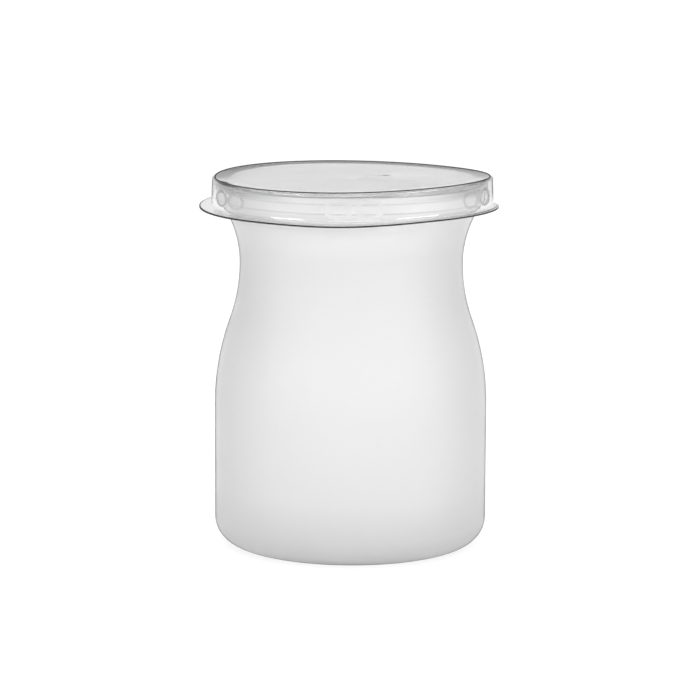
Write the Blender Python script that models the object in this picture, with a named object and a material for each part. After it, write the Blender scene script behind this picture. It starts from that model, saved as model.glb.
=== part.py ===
"""A frosted plastic dessert bottle with its clear press-on lid, at real size.

The bottle is one thin polypropylene shell, turned about +Z: a straight round body, a
shoulder drawn in to a throat, and a mouth that flares out to a rim with a snap flange.
The lid is one thin clear sheet, formed as a shallow cap: a flat top, a short skirt with
six pairs of snap dimples, and a narrow brim. The origin is on the floor, under the
centre of the base. The front faces -Y.
"""

import math

import bmesh
import bpy
from mathutils import Vector

MM = 0.001

# Bottle: overall form
BODY_RADIUS = 30.0 * MM
BASE_CORNER = 5.8 * MM  # outer radius of the rounded edge under the body
SHOULDER_ARC = 55.0 * MM  # convex arc where the body starts to draw in
NECK_ARC = 37.0 * MM  # concave arc that runs into the throat
THROAT_RADIUS = 24.5 * MM
THROAT_HEIGHT = 62.5 * MM
FLARE_ARC = 23.5 * MM  # concave arc from the throat out to the mouth
BOTTLE_WALL = 0.8 * MM

# Bottle: mouth
BAND_RADIUS = 29.3 * MM  # short upright band at the top of the flare
FLANGE_RADIUS = 29.8 * MM
FLANGE_LOW = 78.95 * MM
RIM_TOP = 80.4 * MM
RIM_EDGE = 0.3 * MM  # radius of the rim's rounded edges

# Bottle: underside, a flat standing ring round a shallow push-up
RING_INNER_RADIUS = 21.0 * MM
RECESS_RADIUS = 19.4 * MM
RECESS_DEPTH = 0.9 * MM
BASE_WALL = 0.9 * MM

# Lid
LID_TOP = 81.3 * MM
LID_WALL = 0.35 * MM
LID_RADIUS = 30.75 * MM  # skirt at the top edge
SKIRT_FLARE = 0.15 * MM  # how much wider the skirt is at its foot
LID_EDGE = 0.6 * MM  # radius of the edge round the flat top
SKIRT_FOOT = 75.55 * MM  # where the skirt starts to turn out into the brim
BRIM_FILLET = 0.5 * MM
BRIM_RADIUS = 32.8 * MM
BRIM_TOP = 74.85 * MM  # upper face of the brim at its trimmed edge
LID_SHIFT = 0.2 * MM  # the lid sits this far to +X of the bottle's axis
TRIM_SHIFT = -0.75 * MM  # and its brim was trimmed this far off the skirt's centre
LID_TWIST = 0.2 * MM  # rise and fall of the thin lid's edge, twice round

# Snap dimples, pressed inwards under the flange
DIMPLE_PAIRS = 6
FIRST_PAIR = 1.5  # degrees round from the front, towards +X, to the first pair's middle
DIMPLE_SPREAD = 6.05  # degrees from a pair's middle to each dimple
DIMPLE_HALF_WIDTH = 3.05 * MM
DIMPLE_HALF_HEIGHT = 1.7 * MM
DIMPLE_HEIGHT = 77.6 * MM  # its centre above the floor
DIMPLE_DEPTH = 0.45 * MM
DIMPLE_RIM = 0.55  # share of the half size that the sloping edge takes

# Facets
BOTTLE_SEGMENTS = 60
COARSE_STEP = 7.2  # degrees between the lid's facets, away from the dimples
FINE_STEP = 2.0  # and across them
FINE_REACH = 12.0  # degrees to each side of a pair's middle
SKIRT_ROWS = 8
ARC_STEP = 5.5  # degrees of arc for one facet of the bottle's profile
CORNER_FACETS = 5
EDGE_FACETS = 2
SHARP_ANGLE = 40.0  # degrees between faces that meet in a crisp edge

# Materials
MILKY_WHITE = (0.82, 0.82, 0.82, 1.0)
SATIN_ROUGHNESS = 0.55
MILKY_TRANSMISSION = 0.4
POLYPROPYLENE_IOR = 1.49
WATER_CLEAR = (0.95, 0.95, 0.95, 1.0)
GLOSSY_ROUGHNESS = 0.04
CLEAR_TRANSMISSION = 1.0
PET_IOR = 1.57


def clear_scene():
    for old in list(bpy.data.objects):
        bpy.data.objects.remove(old)


def arc(centre, radius, start, end, facets):
    """Points (r, z) on a circle round centre, from one angle to another, in degrees."""
    points = []
    for i in range(facets + 1):
        angle = math.radians(start + (end - start) * i / facets)
        points.append(
            (centre[0] + radius * math.cos(angle), centre[1] + radius * math.sin(angle))
        )
    return points


def facets_for(start, end):
    return max(2, round(abs(end - start) / ARC_STEP))


def bottle_side(inset):
    """The side wall's profile from its foot to the band, moved inwards by inset.

    Every arc keeps its centre, so that the outer and the inner face stay parallel.
    """
    arcs = SHOULDER_ARC + NECK_ARC
    lean = math.degrees(math.acos(1 - (BODY_RADIUS - THROAT_RADIUS) / arcs))
    shoulder_start = THROAT_HEIGHT - arcs * math.sin(math.radians(lean))
    flare_centre = (THROAT_RADIUS + FLARE_ARC, THROAT_HEIGHT)
    band = BAND_RADIUS - inset
    flare_end = 180 - math.degrees(
        math.acos((flare_centre[0] - band) / (FLARE_ARC + inset))
    )
    corner_centre = (BODY_RADIUS - BASE_CORNER, BASE_CORNER)
    corner = arc(corner_centre, BASE_CORNER - inset, -90, 0, CORNER_FACETS)
    shoulder = arc(
        (BODY_RADIUS - SHOULDER_ARC, shoulder_start),
        SHOULDER_ARC - inset,
        0,
        lean,
        facets_for(0, lean),
    )
    neck = arc(
        (THROAT_RADIUS + NECK_ARC, THROAT_HEIGHT),
        NECK_ARC + inset,
        180 + lean,
        180,
        facets_for(0, lean),
    )
    flare = arc(
        flare_centre, FLARE_ARC + inset, 180, flare_end, facets_for(180, flare_end)
    )
    # The shoulder ends where the neck starts, and the neck where the flare starts.
    return corner + shoulder + neck[1:] + flare[1:]


def bottle_profile():
    """The closed outline of the bottle's wall: up the outside, over the rim, down the inside."""
    base = [
        (0.0, RECESS_DEPTH),
        (RECESS_RADIUS, RECESS_DEPTH),
        (RING_INNER_RADIUS, 0.0),
    ]
    outside = bottle_side(0.0)
    flange = [(BAND_RADIUS, FLANGE_LOW), (FLANGE_RADIUS, FLANGE_LOW)]
    rim = arc(
        (FLANGE_RADIUS - RIM_EDGE, RIM_TOP - RIM_EDGE), RIM_EDGE, 0, 90, EDGE_FACETS
    )
    bore = BAND_RADIUS - BOTTLE_WALL
    rim += arc((bore + RIM_EDGE, RIM_TOP - RIM_EDGE), RIM_EDGE, 90, 180, EDGE_FACETS)
    inside = bottle_side(BOTTLE_WALL)[::-1]
    floor = [
        (RING_INNER_RADIUS, BASE_WALL),
        (RECESS_RADIUS, RECESS_DEPTH + BASE_WALL),
        (0.0, RECESS_DEPTH + BASE_WALL),
    ]
    return base + outside + flange + rim + inside + floor


def even_angles(segments):
    return [360.0 * i / segments for i in range(segments)]


def pair_middles():
    return [FIRST_PAIR + 360.0 * i / DIMPLE_PAIRS for i in range(DIMPLE_PAIRS)]


def lid_angles():
    """Facet angles round the lid, from the front: fine across the dimples, coarse between."""
    angles = []
    fine = round(2 * FINE_REACH / FINE_STEP)
    gap = 360.0 / DIMPLE_PAIRS - 2 * FINE_REACH
    coarse = round(gap / COARSE_STEP)
    for middle in pair_middles():
        angles += [middle - FINE_REACH + FINE_STEP * k for k in range(fine)]
        angles += [middle + FINE_REACH + gap * k / coarse for k in range(coarse)]
    return angles


def turn(name, profile, angles, place):
    """Turns a closed (r, z) outline about Z into one solid.

    place(r, z, angle) gives a point of the outline at an angle from the front (-Y),
    counted towards +X. Points on the axis become one shared pole.
    """
    mesh = bmesh.new()
    rings = []
    for r, z in profile:
        if r == 0.0:
            rings.append([mesh.verts.new(place(0.0, z, 0.0))])
        else:
            rings.append([mesh.verts.new(place(r, z, a)) for a in angles])
    count = len(angles)
    for lower, upper in zip(rings, rings[1:] + rings[:1]):
        for k in range(count):
            corners = [
                lower[k % len(lower)],
                lower[(k + 1) % len(lower)],
                upper[(k + 1) % len(upper)],
                upper[k % len(upper)],
            ]
            distinct = list(dict.fromkeys(corners))
            if len(distinct) > 2:
                mesh.faces.new(distinct)
    bmesh.ops.recalc_face_normals(mesh, faces=mesh.faces)
    data = bpy.data.meshes.new(name)
    mesh.to_mesh(data)
    mesh.free()
    data.shade_smooth()
    data.set_sharp_from_angle(angle=math.radians(SHARP_ANGLE))
    solid = bpy.data.objects.new(name, data)
    bpy.context.scene.collection.objects.link(solid)
    return solid


def upright(r, z, angle):
    a = math.radians(angle)
    return Vector((r * math.sin(a), -r * math.cos(a), z))


def skirt_radius(z):
    """Radius of the skirt's outer face at a height."""
    share = (LID_TOP - LID_EDGE - z) / (LID_TOP - LID_EDGE - SKIRT_FOOT)
    return LID_RADIUS + SKIRT_FLARE * share


def lid_face(inset):
    """The lid's outer face from the top's centre to the trimmed edge, or its inner face."""
    edge_centre = (LID_RADIUS - LID_EDGE, LID_TOP - LID_EDGE)
    edge = arc(edge_centre, LID_EDGE - inset, 90, 0, EDGE_FACETS)
    rows = []
    for i in range(1, SKIRT_ROWS):
        z = edge_centre[1] + (SKIRT_FOOT - edge_centre[1]) * i / SKIRT_ROWS
        rows.append((skirt_radius(z) - inset, z))
    fillet_centre = (skirt_radius(SKIRT_FOOT) + BRIM_FILLET, SKIRT_FOOT)
    droop = math.degrees(
        math.atan2(
            SKIRT_FOOT - BRIM_FILLET - BRIM_TOP, BRIM_RADIUS - fillet_centre[0]
        )
    )
    fillet = arc(fillet_centre, BRIM_FILLET + inset, 180, 270 - droop, EDGE_FACETS)
    return [(0.0, LID_TOP - inset)] + edge + rows + fillet + [(BRIM_RADIUS, BRIM_TOP - inset)]


def dimple(z, angle):
    """How far the skirt is pressed in at a height and an angle, from 0 to DIMPLE_DEPTH."""
    pressed = 0.0
    for middle in pair_middles():
        for side in (-1, 1):
            turned = (angle - middle - side * DIMPLE_SPREAD + 180.0) % 360.0 - 180.0
            across = math.radians(turned) * LID_RADIUS / DIMPLE_HALF_WIDTH
            up = (z - DIMPLE_HEIGHT) / DIMPLE_HALF_HEIGHT
            t = (1.0 - math.hypot(across, up)) / DIMPLE_RIM
            t = min(max(t, 0.0), 1.0)
            pressed = max(pressed, DIMPLE_DEPTH * t * t * (3.0 - 2.0 * t))
    return pressed


def on_lid(r, z, angle):
    """A point of the lid, with its dimples, its off-centre trim and its slight twist."""
    foot = skirt_radius(SKIRT_FOOT) + BRIM_FILLET
    if z < LID_TOP - LID_EDGE:
        r -= dimple(z, angle)
    trim = min(max((r - foot) / (BRIM_RADIUS - foot), 0.0), 1.0)
    point = upright(r, z, angle)
    bearing = math.radians(angle) - math.pi / 2
    point.z -= LID_TWIST * math.sin(2.0 * bearing) * (r / LID_RADIUS) ** 2
    point.x += TRIM_SHIFT * trim
    return point


def plastic(name, colour, roughness, transmission, ior):
    material = bpy.data.materials.new(name)
    material.use_nodes = True
    shader = material.node_tree.nodes["Principled BSDF"]
    shader.inputs["Base Color"].default_value = colour
    shader.inputs["Roughness"].default_value = roughness
    shader.inputs["Metallic"].default_value = 0.0
    shader.inputs["Transmission Weight"].default_value = transmission
    shader.inputs["IOR"].default_value = ior
    return material


def make_bottle():
    bottle = turn("bottle", bottle_profile(), even_angles(BOTTLE_SEGMENTS), upright)
    frosted = plastic(
        "frosted polypropylene",
        MILKY_WHITE,
        SATIN_ROUGHNESS,
        MILKY_TRANSMISSION,
        POLYPROPYLENE_IOR,
    )
    bottle.data.materials.append(frosted)
    return bottle


def make_lid():
    outline = lid_face(0.0) + lid_face(LID_WALL)[::-1]
    lid = turn("lid", outline, lid_angles(), on_lid)
    lid.location.x = LID_SHIFT
    clear = plastic(
        "clear PET sheet", WATER_CLEAR, GLOSSY_ROUGHNESS, CLEAR_TRANSMISSION, PET_IOR
    )
    lid.data.materials.append(clear)
    return lid


def main():
    clear_scene()
    make_bottle()
    make_lid()


main()
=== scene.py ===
"""The looks of a frosted dessert bottle with a clear press-on lid.

The bottle is a milky polypropylene wall with a satin surface, and the lid a thin clear PET
sheet. Both are turned shapes: an outline goes round the upright axis. The script is laid out
as a Blender add-on, with one operator for the bottle, one for the lid and one for the stage.
"""

import math
from functools import partial

import bmesh
import bpy
from bpy.props import FloatProperty, FloatVectorProperty, IntProperty, PointerProperty
from mathutils import Matrix, Vector


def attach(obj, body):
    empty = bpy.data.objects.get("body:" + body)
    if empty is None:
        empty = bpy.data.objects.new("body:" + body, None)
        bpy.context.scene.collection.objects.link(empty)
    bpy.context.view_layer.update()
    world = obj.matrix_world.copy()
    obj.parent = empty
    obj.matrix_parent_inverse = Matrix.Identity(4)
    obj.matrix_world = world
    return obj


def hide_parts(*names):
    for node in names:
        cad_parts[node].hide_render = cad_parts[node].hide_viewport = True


bl_info = {
    "name": "Dessert bottle",
    "version": (1, 0, 0),
    "blender": (4, 5, 0),
    "location": "3D View > Sidebar > Dessert bottle",
    "description": "Makes a frosted dessert bottle with its clear press-on lid",
    "category": "Object",
}

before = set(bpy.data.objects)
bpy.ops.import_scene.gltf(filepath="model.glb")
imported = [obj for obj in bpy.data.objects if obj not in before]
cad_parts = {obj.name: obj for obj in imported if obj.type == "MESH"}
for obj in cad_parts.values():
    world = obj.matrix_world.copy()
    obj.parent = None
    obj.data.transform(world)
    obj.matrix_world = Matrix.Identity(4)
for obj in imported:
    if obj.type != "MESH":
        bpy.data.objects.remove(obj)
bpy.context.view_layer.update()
MM = 0.001
BODY = "root"
SHARP_ANGLE = 50.0  # degrees; flatter edges are shaded smooth


def hex_colour(code):
    """An sRGB hex colour as linear red, green, blue and alpha."""
    channels = [int(code[i : i + 2], 16) / 255 for i in (0, 2, 4)]
    linear = [c / 12.92 if c <= 0.04045 else ((c + 0.055) / 1.055) ** 2.4 for c in channels]
    return (*linear, 1.0)


WHITE = hex_colour("FFFFFF")


def length(name, description, default):
    """A setting in metres."""
    return FloatProperty(
        name=name, description=description, default=default, subtype="DISTANCE", unit="LENGTH"
    )


def colour(name, description, code):
    """A colour setting, from its hex code."""
    return FloatVectorProperty(
        name=name,
        description=description,
        default=hex_colour(code),
        size=4,
        subtype="COLOR",
        min=0.0,
        max=1.0,
    )


class BottleSettings(bpy.types.PropertyGroup):
    """Sizes and colour of the bottle."""

    body_radius: length("Body radius", "Outer radius of the straight body", 30.0 * MM)
    base_corner: length("Base corner", "Radius of the rounded edge under the body", 5.8 * MM)
    shoulder_arc: length("Shoulder arc", "Radius of the convex shoulder", 55.0 * MM)
    neck_arc: length("Neck arc", "Radius of the concave neck", 37.0 * MM)
    throat_radius: length("Throat radius", "Outer radius at the narrowest height", 24.5 * MM)
    throat_height: length("Throat height", "Height of the narrowest part", 62.5 * MM)
    flare_arc: length("Flare arc", "Radius of the flare under the mouth", 23.5 * MM)
    wall: length("Wall", "Thickness of the side wall", 0.8 * MM)
    band_radius: length("Band radius", "Radius of the upright band at the mouth", 29.3 * MM)
    flange_radius: length("Flange radius", "Radius of the snap flange", 29.8 * MM)
    flange_low: length("Flange underside", "Height of the flange's underside", 78.95 * MM)
    rim_top: length("Rim top", "Height of the rim", 80.4 * MM)
    rim_edge: length("Rim edge", "Radius of the rim's rounded edges", 0.35 * MM)
    ring_inner: length("Ring inner radius", "Inner radius of the standing ring", 21.0 * MM)
    recess_radius: length("Recess radius", "Radius of the push-up's flat middle", 19.4 * MM)
    recess_depth: length("Recess depth", "Height of the push-up under the base", 0.9 * MM)
    base_wall: length("Base wall", "Thickness of the base", 0.9 * MM)
    segments: IntProperty(name="Segments", description="Facets round the bottle", default=192)
    tint: colour("Bottle colour", "Colour of the milky plastic", "F0F0F0")
    # Darker towards the base, and also the painted shade on the side of the wall turned half away.
    foot_and_shade_tint: colour("Foot colour", "Colour of the thick wall round the base", "DCDCDC")
    # Painted shade: drawn on the outline, the creases, the flange and the foot's dark line.
    edge_shade_tint: colour("Outline colour", "Colour of the plastic seen edge on", "484848")


class LidSettings(bpy.types.PropertyGroup):
    """Sizes and colour of the lid."""

    top: length("Top", "Height of the lid's flat top", 81.2 * MM)
    wall: length("Sheet", "Thickness of the formed sheet", 0.3 * MM)
    radius: length("Radius", "Outer radius at the top edge", 30.75 * MM)
    skirt_flare: length("Skirt flare", "How much wider the skirt is at its foot", 0.15 * MM)
    edge: length("Top edge", "Radius of the edge round the top", 0.4 * MM)
    bead_radius: length("Bead radius", "Radius of the raised ring on the top", 30.1 * MM)
    bead_width: length("Bead half width", "Half the width of the raised ring", 0.19 * MM)
    bead_height: length("Bead height", "Height of the raised ring", 0.24 * MM)
    skirt_foot: length("Skirt foot", "Height where the skirt turns out to the brim", 76.1 * MM)
    fillet: length("Brim fillet", "Radius between the skirt and the brim", 0.7 * MM)
    brim_radius: length("Brim radius", "Outer radius of the brim", 32.8 * MM)
    brim_top: length("Brim top", "Height of the brim's upper face at its edge", 75.12 * MM)
    shift: length("Lid shift", "How far the lid sits to the right", 0.2 * MM)
    trim_shift: length("Trim shift", "How far off centre the brim was trimmed", -0.75 * MM)
    twist: length("Twist", "Rise and fall of the lid's edge, twice round", 0.2 * MM)
    front_rise: length("Front rise", "How much higher the top stands at the front", 0.2 * MM)
    right_rise: length("Right rise", "How much higher the top stands on the right", 0.42 * MM)
    front_sag: length("Front sag", "How far the brim sags at the front", 0.37 * MM)
    pairs: IntProperty(name="Dimple pairs", description="Pairs of snap dimples", default=6)
    first_pair: FloatProperty(
        name="First pair", description="Degrees from the front to a pair's middle", default=0.7
    )
    stretch: FloatProperty(
        name="Stretch", description="How many degrees further round the side pairs are", default=1.8
    )
    spread: FloatProperty(
        name="Spread", description="Degrees from a pair's middle to each dimple", default=6.1
    )
    dimple_width: length("Dimple half width", "Half the width of a dimple", 3.25 * MM)
    dimple_rise: length("Dimple half height", "Half the height of a dimple", 1.85 * MM)
    dimple_height: length("Dimple height", "Height of the dimples' middles", 78.05 * MM)
    dimple_depth: length("Dimple depth", "How far a dimple is pressed in", 0.16 * MM)
    dimple_slope: FloatProperty(
        name="Dimple slope", description="Share of a dimple that its sides take", default=0.35
    )
    segments: IntProperty(name="Segments", description="Facets round the lid", default=288)
    tint: colour("Lid colour", "Colour of the clear sheet", "FEFEFE")
    # Painted shade: the colour drawn on the bends, the outline, the dimples' sides, the fainter
    # line and the sheet at a slant.
    bend_shade_tint: colour("Bend colour", "Colour of the bends and outlines", "484848")
    # Painted shade: the colour drawn on the trimmed edge and the ring's line.
    cut_shade_tint: colour("Cut colour", "Colour of the trimmed edge and the ring's line", "202020")


class StageSettings(bpy.types.PropertyGroup):
    """The floor, the light and the camera."""

    distance: length("Camera distance", "From the camera to the bottle's middle", 0.7473)
    aim_height: length("Aim height", "Height that the camera looks at", 42.84 * MM)
    aim_side: length("Aim side", "How far to the side the camera stands", -0.18 * MM)
    elevation: FloatProperty(
        name="Elevation", description="Degrees above level", default=9.86, min=0.0, max=90.0
    )
    roll: FloatProperty(name="Roll", description="Degrees of camera roll", default=0.27)
    lens: FloatProperty(name="Lens", description="Focal length in mm", default=174.03)
    floor_tint: colour("Floor colour", "Colour of the pale floor", "707070")


def add(tree, kind, inputs=None, **settings):
    """Adds a node to a tree, with its settings, and links or sets its inputs."""
    node = tree.nodes.new(kind)
    for name, value in settings.items():
        setattr(node, name, value)
    for name, value in (inputs or {}).items():
        if isinstance(value, bpy.types.NodeSocket):
            tree.links.new(value, node.inputs[name])
        else:
            node.inputs[name].default_value = value
    return node


def arc(centre, radius, start, end, facets):
    """Points (r, z) on a circle round centre, from one angle to another, in degrees."""
    points = []
    for i in range(facets + 1):
        angle = math.radians(start + (end - start) * i / facets)
        points.append(
            (centre[0] + radius * math.cos(angle), centre[1] + radius * math.sin(angle))
        )
    return points


def straight(start, end, facets):
    """Points from start up to, but without, end."""
    return [
        tuple(a + (b - a) * i / facets for a, b in zip(start, end)) for i in range(facets)
    ]


# Facets along each stretch of the bottle's outline.
CORNER_FACETS = 14
BODY_FACETS = 10
SHOULDER_FACETS = 14
NECK_FACETS = 12
FLARE_FACETS = 16
RIM_FACETS = 5
BASE_FACETS = 6


def bottle_side(s, inset):
    """The side wall's outline from its foot to the band, moved inwards by inset."""
    arcs = s.shoulder_arc + s.neck_arc
    lean = math.degrees(math.acos(1 - (s.body_radius - s.throat_radius) / arcs))
    shoulder_start = s.throat_height - arcs * math.sin(math.radians(lean))
    flare_centre = (s.throat_radius + s.flare_arc, s.throat_height)
    reach = flare_centre[0] - s.band_radius + inset
    flare_end = 180 - math.degrees(math.acos(reach / (s.flare_arc + inset)))
    corner_centre = (s.body_radius - s.base_corner, s.base_corner)
    corner = arc(corner_centre, s.base_corner - inset, -90, 0, CORNER_FACETS)
    body = straight(corner[-1], (corner[-1][0], shoulder_start), BODY_FACETS)[1:]
    shoulder_centre = (s.body_radius - s.shoulder_arc, shoulder_start)
    shoulder = arc(shoulder_centre, s.shoulder_arc - inset, 0, lean, SHOULDER_FACETS)
    neck_centre = (s.throat_radius + s.neck_arc, s.throat_height)
    neck = arc(neck_centre, s.neck_arc + inset, 180 + lean, 180, NECK_FACETS)
    flare = arc(flare_centre, s.flare_arc + inset, 180, flare_end, FLARE_FACETS)
    return corner + body + shoulder + neck[1:] + flare[1:]


def bottle_outline(s):
    """The bottle wall's outline: from the underside's middle over the rim to the inner floor."""
    middle = (0.0, s.recess_depth)
    recess = (s.recess_radius, s.recess_depth)
    base = straight(middle, recess, BASE_FACETS) + [recess, (s.ring_inner, 0.0)]
    flange = [(s.band_radius, s.flange_low), (s.flange_radius, s.flange_low)]
    outer = (s.flange_radius - s.rim_edge, s.rim_top - s.rim_edge)
    inner = (s.band_radius - s.wall + s.rim_edge, s.rim_top - s.rim_edge)
    rim = arc(outer, s.rim_edge, 0, 90, RIM_FACETS)
    rim += arc(inner, s.rim_edge, 90, 180, RIM_FACETS)
    inner_recess = (s.recess_radius, s.recess_depth + s.base_wall)
    inner_middle = (0.0, inner_recess[1])
    floor = [(s.ring_inner, s.base_wall)] + straight(inner_recess, inner_middle, BASE_FACETS)
    return (
        base
        + bottle_side(s, 0.0)
        + flange
        + rim
        + bottle_side(s, s.wall)[::-1]
        + floor
        + [inner_middle]
    )


# Facets along each stretch of the lid's outline.
TOP_FACETS = 8
BEAD_FACETS = 10
EDGE_FACETS = 10
SKIRT_FACETS = 22
FILLET_FACETS = 8
BRIM_FACETS = 4
CUT_DEPTH = 0.24 * MM  # how far in from its trimmed edge the sheet is dull
LINE_DROP = 0.76 * MM  # how far the fainter line lies under the lid's top
LINE_REACH = 0.16 * MM  # half the width of that line


def lid_face(s, inset, bead_height):
    """The outline of one face of the sheet, from the top's middle to the brim's edge."""
    edge_centre = (s.radius - s.edge, s.top - s.edge)
    edge = arc(edge_centre, s.edge - inset, 90, 0, EDGE_FACETS)
    level = s.top - inset
    top = straight((0.0, level), (s.bead_radius - s.bead_width, level), TOP_FACETS)
    for i in range(BEAD_FACETS + 1):
        across = 2 * i / BEAD_FACETS - 1
        rise = bead_height * (1 + math.cos(math.pi * across)) / 2
        top.append((s.bead_radius + s.bead_width * across, level + rise))
    foot_radius = s.radius + s.skirt_flare
    line = s.top - LINE_DROP
    skirt = [(edge[-1][0], line + step * LINE_REACH) for step in (1, 0.5, -0.5, -1)]
    skirt += straight(skirt[-1], (foot_radius - inset, s.skirt_foot), SKIRT_FACETS)[1:]
    fillet_centre = (foot_radius + s.fillet, s.skirt_foot)
    fall = s.skirt_foot - s.fillet - s.brim_top
    droop = math.degrees(math.atan2(fall, s.brim_radius - fillet_centre[0]))
    fillet = arc(fillet_centre, s.fillet + inset, 180, 270 - droop, FILLET_FACETS)
    tip = (s.brim_radius, s.brim_top - inset)
    near_tip = (s.brim_radius - CUT_DEPTH, tip[1] + CUT_DEPTH * math.tan(math.radians(droop)))
    brim = straight(fillet[-1], near_tip, BRIM_FACETS) + [near_tip, tip]
    return top + edge + skirt + fillet[:-1] + brim


def lid_outline(s):
    """The sheet's outline; the ring stands only on its outer face."""
    return lid_face(s, 0.0, s.bead_height) + lid_face(s, s.wall, 0.0)[::-1]


def new_tree(name, inputs):
    """A Geometry Nodes tree with a geometry socket each way and the named inputs."""
    tree = bpy.data.node_groups.new(name, "GeometryNodeTree")
    tree.interface.new_socket("Geometry", in_out="INPUT", socket_type="NodeSocketGeometry")
    for label, kind in inputs.items():
        tree.interface.new_socket(label, in_out="INPUT", socket_type=kind)
    tree.interface.new_socket("Geometry", in_out="OUTPUT", socket_type="NodeSocketGeometry")
    return tree, add(tree, "NodeGroupInput").outputs


def calculate(tree, operation, *values):
    """One step of arithmetic on numbers or sockets."""
    inputs = dict(enumerate(values))
    return add(tree, "ShaderNodeMath", inputs, operation=operation).outputs[0]


def ramp(tree, value, start, end, low=0.0, high=1.0, kind="LINEAR"):
    """From low to high as a value goes from start to end, and level beyond them."""
    inputs = {"Value": value, "From Min": start, "From Max": end, "To Min": low, "To Max": high}
    return add(tree, "ShaderNodeMapRange", inputs, interpolation_type=kind).outputs["Result"]


def finish_tree(tree, geometry, material):
    """Makes the tree's result one real mesh with its material."""
    whole = add(tree, "GeometryNodeRealizeInstances", {0: geometry}).outputs[0]
    dressed = add(tree, "GeometryNodeSetMaterial", {"Geometry": whole, "Material": material})
    add(tree, "NodeGroupOutput", {0: dressed.outputs[0]})


WELD_REACH = 0.001 * MM  # points closer than this are one point


def turning_tree():
    """Takes an outline in the XZ plane round the Z axis, and closes its seam and its poles."""
    tree, given = new_tree(
        "Turned wall", {"Segments": "NodeSocketInt", "Material": "NodeSocketMaterial"}
    )
    outline = given["Geometry"]
    size = add(tree, "GeometryNodeAttributeDomainSize", {"Geometry": outline}, component="MESH")
    rows = size.outputs["Point Count"]
    columns = calculate(tree, "ADD", given["Segments"], 1.0)
    grid = add(
        tree, "GeometryNodeMeshGrid", {"Vertices X": columns, "Vertices Y": rows}
    ).outputs["Mesh"]
    index = add(tree, "GeometryNodeInputIndex").outputs[0]
    row = calculate(tree, "FLOORED_MODULO", index, rows)
    column = calculate(tree, "FLOOR", calculate(tree, "DIVIDE", index, rows))
    point = add(
        tree,
        "GeometryNodeSampleIndex",
        {
            "Geometry": outline,
            "Value": add(tree, "GeometryNodeInputPosition").outputs[0],
            "Index": row,
        },
        data_type="FLOAT_VECTOR",
        domain="POINT",
    ).outputs["Value"]
    parts = add(tree, "ShaderNodeSeparateXYZ", {0: point}).outputs
    turn = calculate(tree, "DIVIDE", column, given["Segments"])
    angle = calculate(tree, "MULTIPLY", turn, math.tau)
    x = calculate(tree, "MULTIPLY", parts["X"], calculate(tree, "SINE", angle))
    front = calculate(tree, "MULTIPLY", parts["X"], calculate(tree, "COSINE", angle))
    y = calculate(tree, "MULTIPLY", front, -1.0)
    place = add(tree, "ShaderNodeCombineXYZ", {"X": x, "Y": y, "Z": parts["Z"]}).outputs[0]
    turned = add(tree, "GeometryNodeSetPosition", {"Geometry": grid, "Position": place})
    weld = {"Geometry": turned.outputs[0], "Distance": WELD_REACH}
    closed = add(tree, "GeometryNodeMergeByDistance", weld)
    smooth = add(tree, "GeometryNodeSetShadeSmooth", {0: closed.outputs[0]})
    finish_tree(tree, smooth.outputs[0], given["Material"])
    return tree


BEND_FADE = 1.3 * MM  # how far the bend's darkness fades down the skirt
BEND_START = 0.1 * MM  # how far up the bend it begins
LINE_FADE = 0.06 * MM  # over which the ring's line fades out
LINE_END = 14 * MM  # how far to the right of the middle the fainter line reaches
LINE_TAIL = 5 * MM  # the end of that line, over which it fades out
BRIM_SHARE = 0.4  # how much of the rise on the right the brim takes part in
RIGHT_HUMP = (62.0, 80.0)  # that rise's middle, in degrees from the front, and its half width
FRONT_HUMP = (-2.0, 38.0)  # the same for the sag of the brim


def hump(tree, bearing, middle, half_width):
    """Rises from 0 to 1 and falls again, round a middle bearing given in degrees."""
    away = calculate(tree, "SUBTRACT", bearing, math.radians(middle))
    away = calculate(tree, "ABSOLUTE", away)
    return ramp(tree, away, math.radians(half_width), 0.0, kind="SMOOTHSTEP")


def dimple_press(tree, given, bearing, z):
    """How far in the sheet is pressed, by pairs of oval dimples round the skirt."""
    sums = partial(calculate, tree)
    # The distance round to the nearest dimple's middle, folded into half of one pair.
    period = sums("DIVIDE", math.tau, given["Dimple pairs"])
    half = sums("DIVIDE", period, 2.0)
    stretch = sums("MULTIPLY", sums("RADIANS", given["Stretch"]), sums("SINE", bearing))
    first = sums("ADD", sums("RADIANS", given["First pair"]), stretch)
    folded = sums("WRAP", sums("SUBTRACT", bearing, first), half, sums("MULTIPLY", half, -1.0))
    beside = sums("SUBTRACT", sums("ABSOLUTE", folded), sums("RADIANS", given["Spread"]))
    round_way = sums("MULTIPLY", beside, given["Radius"])
    across = sums("DIVIDE", round_way, given["Dimple half width"])
    above = sums("SUBTRACT", z, given["Dimple height"])
    up = sums("DIVIDE", above, given["Dimple half height"])
    out = sums("SQRT", sums("ADD", sums("MULTIPLY", across, across), sums("MULTIPLY", up, up)))
    inside = sums("DIVIDE", sums("SUBTRACT", 1.0, out), given["Dimple slope"])
    return ramp(tree, inside, 0.0, 1.0, high=given["Dimple depth"], kind="SMOOTHSTEP")


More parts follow.
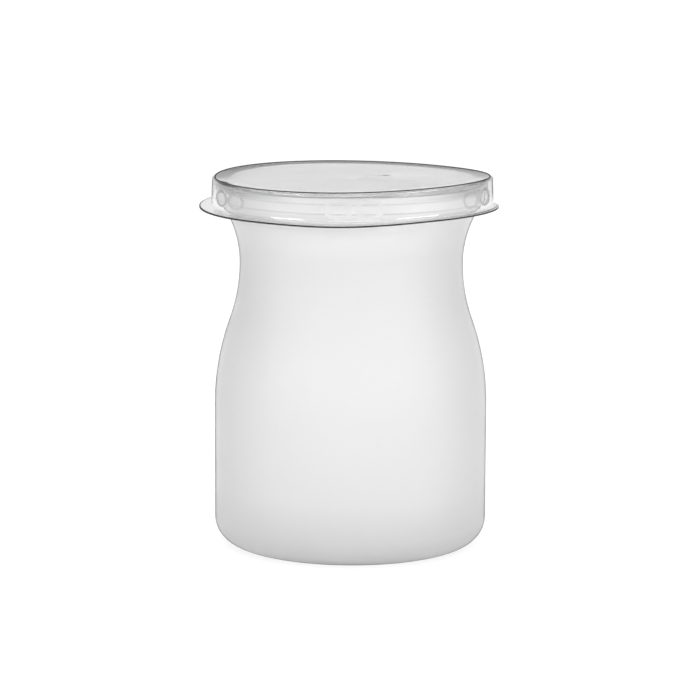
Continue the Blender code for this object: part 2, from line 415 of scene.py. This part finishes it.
def warp(tree, given, place, radius, bearing):
    """How much higher this lid stands than an even one would."""
    sums = partial(calculate, tree)
    x, y, z = place
    # The edge is low at the left front and the right back, and high between them.
    reach = sums("DIVIDE", radius, given["Radius"])
    wave = sums("SINE", sums("MULTIPLY", sums("ARCTAN2", y, x), 2.0))
    twist = sums("MULTIPLY", wave, given["Twist"])
    lift = sums("MULTIPLY", sums("MULTIPLY", reach, reach), twist)
    # Above the dimples the sheet was drawn a little taller at the front.
    forward = ramp(tree, y, given["Radius"], sums("MULTIPLY", given["Radius"], -1.0))
    taller = sums("MULTIPLY", ramp(tree, z, given["Dimple height"], given["Top"]), forward)
    rise = sums("SUBTRACT", sums("MULTIPLY", taller, given["Front rise"]), lift)
    # It stands higher on the right, its top more than its brim, and the brim sags in front.
    share = ramp(tree, z, given["Skirt foot"], given["Top"], low=BRIM_SHARE)
    right = sums("MULTIPLY", share, given["Right rise"])
    rise = sums("ADD", rise, sums("MULTIPLY", hump(tree, bearing, *RIGHT_HUMP), right))
    low = ramp(tree, z, given["Dimple height"], given["Skirt foot"])
    sag = sums("MULTIPLY", low, given["Front sag"])
    return sums("SUBTRACT", rise, sums("MULTIPLY", hump(tree, bearing, *FRONT_HUMP), sag))


def sheet_marks(tree, given, x, z, radius, pressed):
    """Marks from 0 to 1 on the parts of the sheet that its material draws differently."""
    sums = partial(calculate, tree)
    off_bead = sums("ABSOLUTE", sums("SUBTRACT", radius, given["Bead radius"]))
    full = sums("SUBTRACT", given["Bead half width"], LINE_FADE)
    # Only the ring's outer face is marked.
    skin = sums("SUBTRACT", given["Top"], LINE_FADE)
    crest = sums(
        "MULTIPLY",
        ramp(tree, off_bead, given["Bead half width"], full),
        ramp(tree, z, sums("SUBTRACT", skin, LINE_FADE), skin),
    )
    bend_low = sums("SUBTRACT", given["Top"], given["Bend"])
    bend = sums(
        "MULTIPLY",
        ramp(tree, z, sums("SUBTRACT", bend_low, BEND_FADE), bend_low),
        ramp(tree, z, sums("ADD", bend_low, BEND_START), bend_low),
    )
    off_line = sums("ABSOLUTE", sums("SUBTRACT", z, sums("SUBTRACT", given["Top"], LINE_DROP)))
    lower = sums(
        "MULTIPLY",
        ramp(tree, off_line, LINE_REACH, LINE_REACH / 2),
        ramp(tree, x, LINE_END, LINE_END - LINE_TAIL),
    )
    skirt_in = sums("SUBTRACT", given["Radius"], given["Bend"])
    upright = sums(
        "MULTIPLY",
        ramp(tree, radius, skirt_in, given["Radius"]),
        ramp(tree, z, given["Skirt foot"], given["Dimple height"]),
    )
    # A dimple's side is marked most halfway down, where it is steepest.
    depth = sums("DIVIDE", pressed, given["Dimple depth"])
    slope = sums("MULTIPLY", depth, sums("SUBTRACT", 1.0, depth))
    cut_start = sums("SUBTRACT", given["Brim radius"], CUT_DEPTH / 2)
    return {
        "bend": bend,
        "crest": crest,
        "lower": lower,
        "upright": upright,
        "outer": ramp(tree, radius, given["Bead radius"], given["Radius"]),
        "slope": sums("MULTIPLY", slope, 4.0),
        "cut": sums("GREATER_THAN", radius, cut_start),
    }


def forming_tree(names):
    """Presses dimples into the lid's skirt, trims its brim off centre, and warps and marks it."""
    kinds = {name: "NodeSocketFloat" for name in names}
    tree, given = new_tree("Formed sheet", {**kinds, "Material": "NodeSocketMaterial"})
    sums = partial(calculate, tree)
    here = add(tree, "GeometryNodeInputPosition").outputs[0]
    parts = add(tree, "ShaderNodeSeparateXYZ", {0: here}).outputs
    x, y, z = parts["X"], parts["Y"], parts["Z"]
    radius = sums("SQRT", sums("ADD", sums("MULTIPLY", x, x), sums("MULTIPLY", y, y)))
    bearing = sums("ARCTAN2", x, sums("MULTIPLY", y, -1.0))
    pressed = dimple_press(tree, given, bearing, z)
    press_x = sums("MULTIPLY", pressed, sums("SINE", bearing))
    press_y = sums("MULTIPLY", pressed, sums("COSINE", bearing))
    trim = ramp(tree, radius, given["Brim foot"], given["Brim radius"], high=given["Trim shift"])
    move_x = sums("SUBTRACT", sums("ADD", given["Lid shift"], trim), press_x)
    rise = warp(tree, given, (x, y, z), radius, bearing)
    offset = add(tree, "ShaderNodeCombineXYZ", {"X": move_x, "Y": press_y, "Z": rise}).outputs[0]
    # The marks are set before the sheet is formed, while it is still even all round.
    marked = given["Geometry"]
    for label, value in sheet_marks(tree, given, x, z, radius, pressed).items():
        marked = add(
            tree,
            "GeometryNodeStoreNamedAttribute",
            {"Geometry": marked, "Name": label, "Value": value},
            data_type="FLOAT",
            domain="POINT",
        ).outputs[0]
    formed = add(tree, "GeometryNodeSetPosition", {"Geometry": marked, "Offset": offset})
    finish_tree(tree, formed.outputs[0], given["Material"])
    return tree


def run_tree(piece, tree, values):
    """Runs a tree on a piece and keeps its result as the piece's plain mesh."""
    modifier = piece.modifiers.new(tree.name, "NODES")
    modifier.node_group = tree
    for item in tree.interface.items_tree:
        if item.in_out == "INPUT" and item.name in values:
            modifier[item.identifier] = values[item.name]
    bpy.context.view_layer.update()
    seen = piece.evaluated_get(bpy.context.evaluated_depsgraph_get())
    mesh = bpy.data.meshes.new_from_object(seen)
    piece.modifiers.remove(modifier)
    piece.data = mesh
    mesh.name = piece.name


def turn(name, outline, segments, material):
    """A solid turned from an outline of (r, z) points that starts and ends on the axis."""
    line = bpy.data.meshes.new(name)
    points = [(r, 0.0, z) for r, z in outline]
    edges = [(i, i + 1) for i in range(len(points) - 1)]
    line.from_pydata(points, edges, [])
    piece = bpy.data.objects.new(name, line)
    bpy.context.scene.collection.objects.link(piece)
    run_tree(piece, turning_tree(), {"Segments": segments, "Material": material})
    return piece


def face_outwards(piece):
    """Turns every face of a closed mesh outwards, and checks that it is closed."""
    mesh = bmesh.new()
    mesh.from_mesh(piece.data)
    bmesh.ops.recalc_face_normals(mesh, faces=mesh.faces)
    if mesh.calc_volume(signed=True) < 0:
        bmesh.ops.reverse_faces(mesh, faces=mesh.faces)
    open_edges = sum(not edge.is_manifold for edge in mesh.edges)
    mesh.to_mesh(piece.data)
    mesh.free()
    if open_edges:
        raise RuntimeError(f"{piece.name} has {open_edges} open edges")


def new_material(name):
    """A material with its node tree and its Principled shader."""
    material = bpy.data.materials.new(name)
    material.use_nodes = True
    tree = material.node_tree
    return material, tree, tree.nodes["Principled BSDF"]


def blend_colours(tree, share, first, second):
    """A colour between two others."""
    inputs = {"Factor": share, 6: first, 7: second}
    return add(tree, "ShaderNodeMix", inputs, data_type="RGBA").outputs[2]


def facing_share(tree):
    """How far a surface is turned away from the eye: 0 face on, 1 edge on."""
    return add(tree, "ShaderNodeLayerWeight", {"Blend": 0.5}).outputs["Facing"]


RELIEF = 0.05 * MM  # how deep the fine relief of both plastics is at full strength


def roughen(tree, shader, height, strength):
    """Gives a shader a fine relief that follows a pattern."""
    inputs = {"Height": height, "Strength": strength, "Distance": RELIEF}
    bump = add(tree, "ShaderNodeBump", inputs).outputs["Normal"]
    tree.links.new(bump, shader.inputs["Normal"])


# Heights on the bottle between which something begins and is full.
MOUTH = (73.0 * MM, 77.0 * MM)  # the wall gets thicker and lets less light through
# Painted light: between these heights the wall is drawn whiter.
UPPER_LIGHT = (66.0 * MM, 76.0 * MM)  # the wall looks whiter
# Between these heights the wall is drawn darker towards the base.
FOOT = (14.0 * MM, 1.0 * MM)  # the wall gets denser
FOOT_LINE = (0.8 * MM, 0.4 * MM)  # the foot of the wall is dark
FLANGE = (78.9 * MM, 79.4 * MM)

# How far the bottle's wall is turned away when something begins and is full.
WALL_OUTLINE = (0.85, 0.93)
WALL_TURNED = (0.2, 0.55)
WALL_EDGE = (0.85, 0.68)
FLANGE_TURNED = (0.1, 0.6)

# Painted shade on the side turned half away takes this share of the foot's colour.
TURNED_SHADE_SHARE = 0.5  # of the foot's colour on the part turned half away
FLANGE_SHARE = 0.5  # of the outline's colour on the flange
SEE_THROUGH = (0.7, 0.05)  # transmission of the wall, and of the mouth
SATIN = (0.5, 0.6)  # roughness between the grains and on them

# The height of each corner, half the height of its dark line, and the line's strength.
CREASES = (
    (78.9 * MM, 0.2 * MM, 0.28),
    (76.8 * MM, 0.25 * MM, 0.3),
    (75.9 * MM, 1.1 * MM, 0.08),
)


def frosted_polypropylene(tint, foot_and_shade_tint, edge_shade_tint):
    """Injection-moulded polypropylene, unpigmented and 0.8 mm thick, with a satin surface.

    Its crystals scatter light, so that the wall is milky: what is behind it shows only as
    soft tones, the rims carry painted shade, and highlights are broad and dim.
    """
    material, tree, shader = new_material("frosted moulded polypropylene")
    sums = partial(calculate, tree)
    # At a grazing angle the way through the wall is long, and the outline is painted grey as shade.
    grazing = facing_share(tree)
    outline = ramp(tree, grazing, *WALL_OUTLINE)
    place = add(tree, "ShaderNodeTexCoord").outputs["Object"]
    height = add(tree, "ShaderNodeSeparateXYZ", {0: place}).outputs["Z"]
    # The wall is thicker at the mouth and round the base; painted light makes it whiter towards the
    # mouth, and round the base it is drawn darker.
    body = blend_colours(tree, ramp(tree, height, *UPPER_LIGHT), tint, WHITE)
    body = blend_colours(tree, ramp(tree, height, *FOOT), body, foot_and_shade_tint)
    # Little light gets out of the corners under the flange and at the band's lower end, and
    # a little less than elsewhere into the pocket between the flare and the lid's skirt.
    for crease, half_width, share in CREASES:
        gap = sums("ABSOLUTE", sums("SUBTRACT", height, crease))
        near = sums("MULTIPLY", ramp(tree, gap, half_width, 0.0), share)
        body = blend_colours(tree, near, body, edge_shade_tint)
    # Painted shade: the side of the wall turned half away is drawn darker than its middle.
    turned = sums("MULTIPLY", ramp(tree, grazing, *WALL_TURNED), ramp(tree, grazing, *WALL_EDGE))
    body = blend_colours(tree, sums("MULTIPLY", turned, TURNED_SHADE_SHARE), body, foot_and_shade_tint)
    # The two walls of the flange hide the light behind it, most where it is turned away.
    flange = sums("MULTIPLY", ramp(tree, height, *FLANGE), ramp(tree, grazing, *FLANGE_TURNED))
    body = blend_colours(tree, sums("MULTIPLY", flange, FLANGE_SHARE), body, edge_shade_tint)
    # The table hides the light from the foot of the rounded corner.
    outline = sums("MAXIMUM", outline, ramp(tree, height, *FOOT_LINE))
    tree.links.new(blend_colours(tree, outline, body, edge_shade_tint), shader.inputs["Base Color"])
    clear = ramp(tree, ramp(tree, height, *MOUTH), 0.0, 1.0, *SEE_THROUGH)
    tree.links.new(clear, shader.inputs["Transmission Weight"])
    shader.inputs["IOR"].default_value = 1.49
    # The satin of the mould is far too fine to show: it is drawn as 1.2 mm grain.
    noise = {"Vector": place, "Scale": 800.0, "Detail": 3.0}
    grain = add(tree, "ShaderNodeTexNoise", noise).outputs["Fac"]
    tree.links.new(ramp(tree, grain, 0.0, 1.0, *SATIN), shader.inputs["Roughness"])
    roughen(tree, shader, grain, 0.08)
    return material


# How far the lid's sheet is turned away when something begins and is full. A value beyond
# 0 or 1 is never reached, and keeps a look from vanishing or from being full.
SHEET_OUTLINE = (0.82, 0.93)
BEND_TURNED = (0.1, 1.4)
SLOPE_TURNED = (0.25, 0.9)
LINE_TURNED = (0.8, -0.2)
SLANT_SHADE_TURNED = (-0.15, 0.75)

SKIRT_SLANT_SHADE = 0.28  # share of the bend's colour that the skirt takes on at a slant
TOP_SLANT_SHADE = SKIRT_SLANT_SHADE / 3
CUT_BLEND = (0.1, 0.6)  # the cut's mark where its colour begins and is full
PRESSED_BLEND = (0.0, 0.4)  # the mark on a dimple's side where its satin begins and is full
PRESSED_SATIN = 0.45  # how dull a dimple's side is, as a share of the cut edge
GLOSS = (0.015, 0.8)  # roughness of the clear sheet, and of its cut edge
CLEARNESS = (1.0, 0.2)  # transmission of the same


def clear_pet_sheet(tint, bend_shade_tint, cut_shade_tint):
    """Thermoformed amorphous PET sheet, 0.3 mm thick, clear and glossy.

    It hardly shows face on, and its bends and trimmed edge show as fine dark and light lines; the
    dark ones are painted shade.
    """
    material, tree, shader = new_material("clear thermoformed PET sheet")
    sums = partial(calculate, tree)
    marks = {
        name: add(tree, "ShaderNodeAttribute", attribute_name=name).outputs["Fac"]
        for name in ("bend", "crest", "lower", "upright", "outer", "slope", "cut")
    }
    # Seen edge on, the sheet carries light away sideways, and its outline shows dark.
    grazing = facing_share(tree)
    outline = sums("MULTIPLY", ramp(tree, grazing, *SHEET_OUTLINE), marks["upright"])
    # Painted shade darkens the bend round the top and the dimples' sides, most where they are
    # turned away.
    at_bend = sums("MULTIPLY", marks["bend"], ramp(tree, grazing, *BEND_TURNED))
    on_slope = sums("MULTIPLY", marks["slope"], ramp(tree, grazing, *SLOPE_TURNED))
    # Painted shade draws the fainter line under the bend, which shows best from straight in front.
    lower = sums("MULTIPLY", marks["lower"], ramp(tree, grazing, *LINE_TURNED))
    line = sums("MAXIMUM", marks["crest"], lower)
    # At a slant the sheet is painted darker towards the bend's colour, as shade.
    # The flat top was drawn least, and takes the least of that shade.
    most_slant_shade = ramp(tree, marks["outer"], 0.0, 1.0, TOP_SLANT_SHADE, SKIRT_SLANT_SHADE)
    slant_shade = sums("MULTIPLY", ramp(tree, grazing, *SLANT_SHADE_TURNED), most_slant_shade)
    dim = outline
    for look in (at_bend, on_slope, line, slant_shade):
        dim = sums("MAXIMUM", dim, look)
    shaded_sheet = blend_colours(tree, dim, tint, bend_shade_tint)
    # Painted shade draws the ring on the top as a line as dark as the trimmed edge.
    # The trimmed edge takes the same painted shade.
    cut = sums("MAXIMUM", ramp(tree, marks["cut"], *CUT_BLEND), marks["crest"])
    tree.links.new(blend_colours(tree, cut, shaded_sheet, cut_shade_tint), shader.inputs["Base Color"])
    dull = sums("MAXIMUM", sums("MAXIMUM", outline, line), cut)
    # The mould's satin is left on the dimples' sides, where the sheet was pressed hard on it.
    satin = sums("MULTIPLY", ramp(tree, marks["slope"], *PRESSED_BLEND), PRESSED_SATIN)
    rough = ramp(tree, sums("MAXIMUM", dull, satin), 0.0, 1.0, *GLOSS)
    tree.links.new(rough, shader.inputs["Roughness"])
    clear = ramp(tree, dull, 0.0, 1.0, *CLEARNESS)
    tree.links.new(clear, shader.inputs["Transmission Weight"])
    shader.inputs["IOR"].default_value = 1.5
    # Uneven stretching leaves soft waves about 12 mm long in the sheet.
    place = add(tree, "ShaderNodeTexCoord").outputs["Object"]
    noise = {"Vector": place, "Scale": 80.0, "Detail": 1.0}
    waves = add(tree, "ShaderNodeTexNoise", noise).outputs["Fac"]
    roughen(tree, shader, waves, 0.2)
    return material


def pale_floor(tint):
    """Opal acrylic, sanded and lit from below: an even pale ground with only faint shadows."""
    material, tree, shader = new_material("lit opal acrylic")
    shader.inputs["Base Color"].default_value = tint
    shader.inputs["Roughness"].default_value = 0.9
    shader.inputs["Specular IOR Level"].default_value = 0.2
    shader.inputs["Emission Color"].default_value = WHITE
    shader.inputs["Emission Strength"].default_value = TABLE_GLOW
    return material


class DESSERT_OT_bottle(bpy.types.Operator):
    """Makes the frosted bottle"""

    bl_idname = "dessert.bottle"
    bl_label = "Bottle"

    def execute(self, context):
        s = context.scene.dessert_bottle
        material = frosted_polypropylene(s.tint, s.foot_and_shade_tint, s.edge_shade_tint)
        piece = turn("bottle_wall", bottle_outline(s), s.segments, material)
        face_outwards(piece)
        piece.data.set_sharp_from_angle(angle=math.radians(SHARP_ANGLE))
        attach(piece, BODY)
        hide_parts("bottle")
        return {"FINISHED"}


class DESSERT_OT_lid(bpy.types.Operator):
    """Makes the clear press-on lid"""

    bl_idname = "dessert.lid"
    bl_label = "Lid"

    def execute(self, context):
        s = context.scene.dessert_lid
        material = clear_pet_sheet(s.tint, s.bend_shade_tint, s.cut_shade_tint)
        piece = turn("lid_sheet", lid_outline(s), s.segments, material)
        values = {
            "Radius": s.radius,
            "Skirt foot": s.skirt_foot,
            "Brim foot": s.radius + s.skirt_flare + s.fillet,
            "Brim radius": s.brim_radius,
            "Dimple half width": s.dimple_width,
            "Dimple half height": s.dimple_rise,
            "Dimple height": s.dimple_height,
            "Dimple depth": s.dimple_depth,
            "Lid shift": s.shift,
            "Trim shift": s.trim_shift,
            "Twist": s.twist,
            "Front rise": s.front_rise,
            "Right rise": s.right_rise,
            "Front sag": s.front_sag,
            "Top": s.top,
            "Bend": s.edge,
            "Bead radius": s.bead_radius,
            "Bead half width": s.bead_width,
            "Dimple pairs": float(s.pairs),
            "First pair": s.first_pair,
            "Stretch": s.stretch,
            "Spread": s.spread,
            "Dimple slope": s.dimple_slope,
        }
        run_tree(piece, forming_tree(values), {**values, "Material": material})
        face_outwards(piece)
        piece.data.set_sharp_from_angle(angle=math.radians(SHARP_ANGLE))
        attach(piece, BODY)
        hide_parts("lid")
        return {"FINISHED"}


FLOOR_REACH = 3.0  # metres from the middle of the light table to its edges


def make_floor(tint):
    """A wide light table that the bottle stands on."""
    half = FLOOR_REACH
    mesh = bpy.data.meshes.new("floor")
    corners = [(-half, -half, 0), (half, -half, 0), (half, half, 0), (-half, half, 0)]
    mesh.from_pydata(corners, [], [(0, 1, 2, 3)])
    mesh.materials.append(pale_floor(tint))
    floor = bpy.data.objects.new("floor", mesh)
    bpy.context.scene.collection.objects.link(floor)


MIDDLE = (0.0, 0.0, 0.04)  # of the bottle

# Soft boxes: name, place, aim, width and height, all in metres, and power in watts.
LIGHTS = (
    ("overhead", (0.0, 0.8, 2.0), (0.0, 0.8, 0.0), (3.0, 3.6), 70.0),
    ("front", (0.05, -1.6, 0.6), MIDDLE, (1.2, 0.8), 8.0),
    ("left", (-1.4, -1.0, 0.5), MIDDLE, (0.9, 0.6), 16.0),
    ("right", (1.4, -1.0, 0.5), MIDDLE, (1.2, 0.7), 19.0),
)


def area_light(name, place, aim, size, power):
    """A rectangular soft box at one place, aimed at another."""
    data = bpy.data.lights.new(name, "AREA")
    data.shape = "RECTANGLE"
    data.size, data.size_y = size
    data.energy = power
    light = bpy.data.objects.new(name, data)
    light.location = place
    light.rotation_euler = (Vector(aim) - Vector(place)).to_track_quat("-Z", "Y").to_euler()
    bpy.context.scene.collection.objects.link(light)


HORIZON = (0.22, 0.45)  # the upward part of a direction, where the surround begins to dim
SURROUND = (0.86, 0.12)  # its light round the horizon, and above it


def make_room_light():
    """A soft surround: pale round the horizon, and dim above it, where the lights are."""
    world = bpy.data.worlds.new("soft surround")
    bpy.context.scene.world = world
    world.use_nodes = True
    tree = world.node_tree
    tree.nodes.clear()
    way = add(tree, "ShaderNodeTexCoord").outputs["Generated"]
    parts = add(tree, "ShaderNodeSeparateXYZ", {0: way}).outputs
    level = ramp(tree, parts["Z"], *HORIZON, *SURROUND, kind="SMOOTHSTEP")
    light = add(tree, "ShaderNodeBackground", {"Color": WHITE, "Strength": level})
    add(tree, "ShaderNodeOutputWorld", {"Surface": light.outputs[0]})


SENSOR_WIDTH = 36.0  # mm, to which the lens setting belongs


def make_camera(s):
    """The camera at the photograph's angle, in front of the bottle and a little above it."""
    data = bpy.data.cameras.new("camera")
    data.lens = s.lens
    data.sensor_width = SENSOR_WIDTH
    camera = bpy.data.objects.new("camera", data)
    e = math.radians(s.elevation)
    aim = Vector((s.aim_side, 0.0, s.aim_height))
    camera.location = aim + s.distance * Vector((0.0, -math.cos(e), math.sin(e)))
    facing = (aim - camera.location).to_track_quat("-Z", "Y").to_matrix()
    roll = Matrix.Rotation(math.radians(s.roll), 3, "Z")
    camera.rotation_euler = (facing @ roll).to_euler()
    bpy.context.scene.collection.objects.link(camera)
    bpy.context.scene.camera = camera


TABLE_GLOW = 0.84  # light from below, as a share of white
LIGHT_BOUNCES = 24  # enough for the lid and both walls of the bottle


class DESSERT_OT_stage(bpy.types.Operator):
    """Makes the floor, the light and the camera"""

    bl_idname = "dessert.stage"
    bl_label = "Stage"

    def execute(self, context):
        s = context.scene.dessert_stage
        make_floor(s.floor_tint)
        make_room_light()
        for light in LIGHTS:
            area_light(*light)
        make_camera(s)
        context.scene.view_settings.view_transform = "Standard"
        context.scene.cycles.max_bounces = LIGHT_BOUNCES
        context.scene.cycles.transmission_bounces = LIGHT_BOUNCES
        return {"FINISHED"}


class DESSERT_PT_panel(bpy.types.Panel):
    """Lists what the bottle is made of"""

    bl_idname = "DESSERT_PT_panel"
    bl_label = "Dessert bottle"
    bl_space_type = "VIEW_3D"
    bl_region_type = "UI"
    bl_category = "Dessert bottle"

    def draw(self, context):
        for operator, settings in (
            ("dessert.bottle", context.scene.dessert_bottle),
            ("dessert.lid", context.scene.dessert_lid),
            ("dessert.stage", context.scene.dessert_stage),
        ):
            box = self.layout.box()
            box.operator(operator)
            for name in settings.__annotations__:
                box.prop(settings, name)


CLASSES = (
    BottleSettings,
    LidSettings,
    StageSettings,
    DESSERT_OT_bottle,
    DESSERT_OT_lid,
    DESSERT_OT_stage,
    DESSERT_PT_panel,
)


def register():
    for item in CLASSES:
        bpy.utils.register_class(item)
    bpy.types.Scene.dessert_bottle = PointerProperty(type=BottleSettings)
    bpy.types.Scene.dessert_lid = PointerProperty(type=LidSettings)
    bpy.types.Scene.dessert_stage = PointerProperty(type=StageSettings)


def unregister():
    del bpy.types.Scene.dessert_stage
    del bpy.types.Scene.dessert_lid
    del bpy.types.Scene.dessert_bottle
    for item in reversed(CLASSES):
        bpy.utils.unregister_class(item)


def main():
    register()
    bpy.ops.dessert.stage()
    bpy.ops.dessert.bottle()
    bpy.ops.dessert.lid()


if __name__ == "__main__":
    main()
